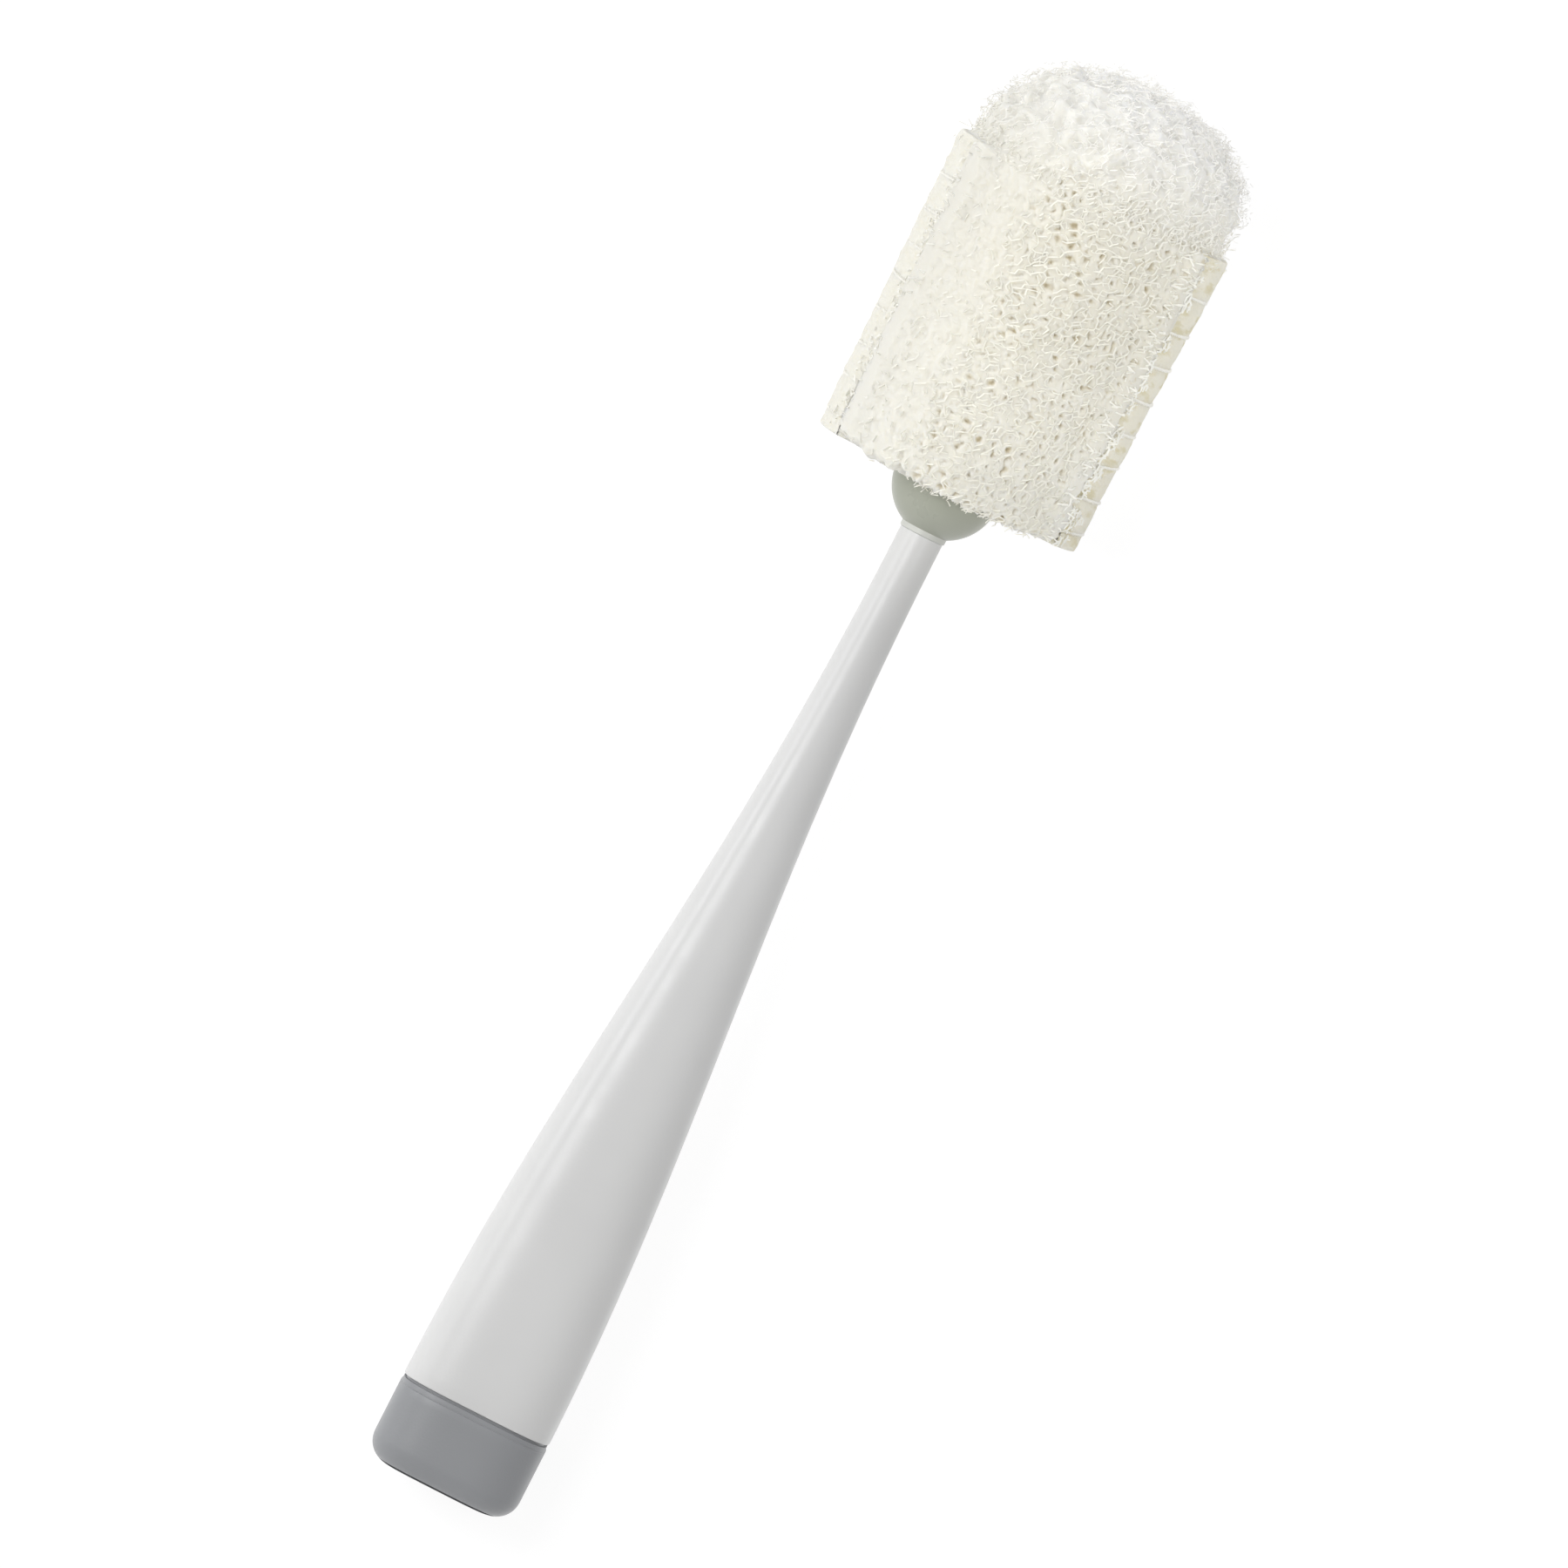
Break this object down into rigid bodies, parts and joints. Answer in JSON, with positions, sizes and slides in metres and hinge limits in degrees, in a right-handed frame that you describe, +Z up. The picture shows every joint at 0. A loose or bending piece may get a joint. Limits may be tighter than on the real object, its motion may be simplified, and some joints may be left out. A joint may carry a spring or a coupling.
{
  "type": "bottle brush",
  "caption": "Bottle brush with a long tapered plastic handle, a plug-in end cap and a round foam washing head wrapped in coarse mesh that pulls off the neck.",
  "frame": {"origin": "on the floor, under the middle of the brush's bounding box, with the brush lying on its end cap and on the rim of its head", "axes": "+X along the brush towards the head, +Z up, and one of the two mesh pads faces up"},
  "size_m": [0.3248, 0.0628, 0.0631],
  "materials": {
    "handle_white": "satin",
    "cap_grey": "satin",
    "seal_rubber": "matte",
    "holder_sage": "satin",
    "spindle_white": "satin",
    "ring_rubber": "matte",
    "foam_cream": "matte",
    "washer_white": "satin",
    "mesh_ivory": "matte",
    "thread_white": "matte"
  },
  "bodies": {
    "handle": {"handle_shell": "handle_white", "end_cap": "cap_grey", "end_cap_seal": "seal_rubber"},
    "head": {"head_holder": "holder_sage", "core_spindle": "spindle_white", "stem_ring_upper": "ring_rubber", "stem_ring_lower": "ring_rubber", "foam_core": "foam_cream", "top_washer": "washer_white", "push_nut": "washer_white", "scrub_wrap": "mesh_ivory", "lacing_thread_left": "thread_white", "lacing_thread_right": "thread_white"}
  },
  "joints": [
    {"name": "head_pull_off", "type": "slide", "parent": "handle", "child": "head", "axis": [0.9984, 0, 0.0573], "range_m": [0, 0.06]}
  ]
}
